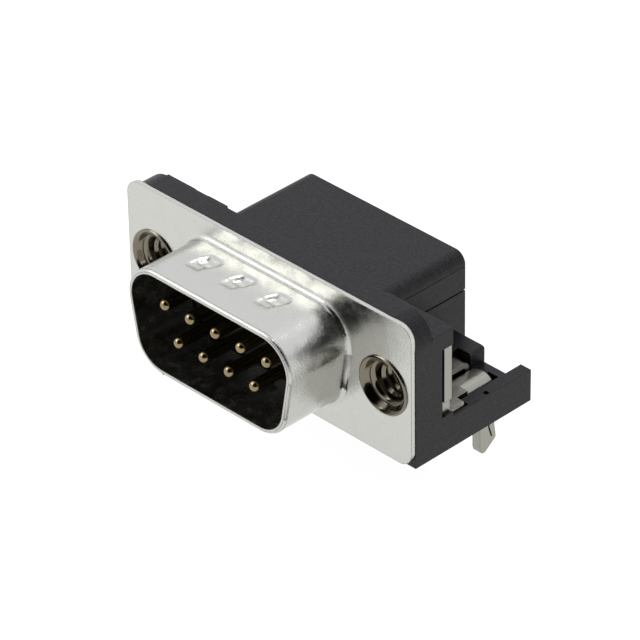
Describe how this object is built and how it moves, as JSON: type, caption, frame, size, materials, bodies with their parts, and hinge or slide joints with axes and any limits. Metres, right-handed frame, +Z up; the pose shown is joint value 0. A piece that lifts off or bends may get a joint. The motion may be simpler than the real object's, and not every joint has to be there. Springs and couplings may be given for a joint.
{
  "type": "d-sub connector",
  "caption": "Right-angle board-mount D-sub plug with a metal shell, moulded hood, riveted threaded inserts and bent side brackets with board locks.",
  "frame": {"origin": "on the board plane, below the middle of the flange's front face", "axes": "+X along the pin rows, to the right as seen by the mating socket; +Y rearwards, away from the socket; +Z up from the board"},
  "size_m": [0.0308, 0.0191, 0.0163],
  "materials": {
    "tinned_steel": "satin",
    "black_plastic": "semi-gloss",
    "nickel_plate": "bright",
    "tinned_bronze": "satin",
    "gilt_contact": "polished"
  },
  "bodies": {
    "root": {"front_shell": "tinned_steel", "contact_block": "black_plastic", "top_cover": "black_plastic", "housing": "black_plastic", "tail_spacer": "black_plastic", "insert_left": "nickel_plate", "insert_right": "nickel_plate", "bracket_left": "tinned_bronze", "bracket_right": "tinned_bronze", "contact_1": "gilt_contact", "contact_2": "gilt_contact", "contact_3": "gilt_contact", "contact_4": "gilt_contact", "contact_5": "gilt_contact", "contact_6": "gilt_contact", "contact_7": "gilt_contact", "contact_8": "gilt_contact", "contact_9": "gilt_contact"}
  },
  "joints": []
}
